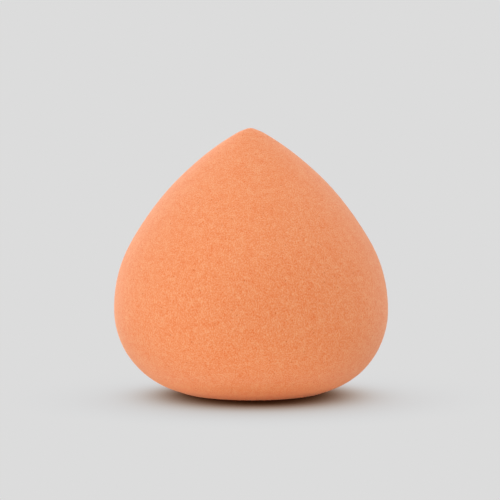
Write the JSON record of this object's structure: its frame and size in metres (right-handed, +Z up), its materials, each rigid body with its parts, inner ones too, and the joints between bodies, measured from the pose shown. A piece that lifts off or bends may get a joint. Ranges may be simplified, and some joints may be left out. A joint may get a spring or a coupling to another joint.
{
  "type": "makeup sponge",
  "caption": "Squat drop-shaped makeup sponge: a soft foam core under a velvet microfibre skin, with a rounded tip for fine work and a small flat foot to stand on.",
  "frame": {"origin": "middle of the flat foot that the sponge rests on", "axes": "+Z up through the tip, along the axis of revolution; X and Y are alike, because the sponge is round"},
  "size_m": [0.05, 0.05, 0.0484],
  "materials": {
    "foam": "fine open-cell foam",
    "adhesive": "thin cured film",
    "velvet": "short matt flock"
  },
  "bodies": {
    "root": {"foam_core": "foam", "adhesive_film": "adhesive", "velvet_skin": "velvet"}
  },
  "joints": []
}
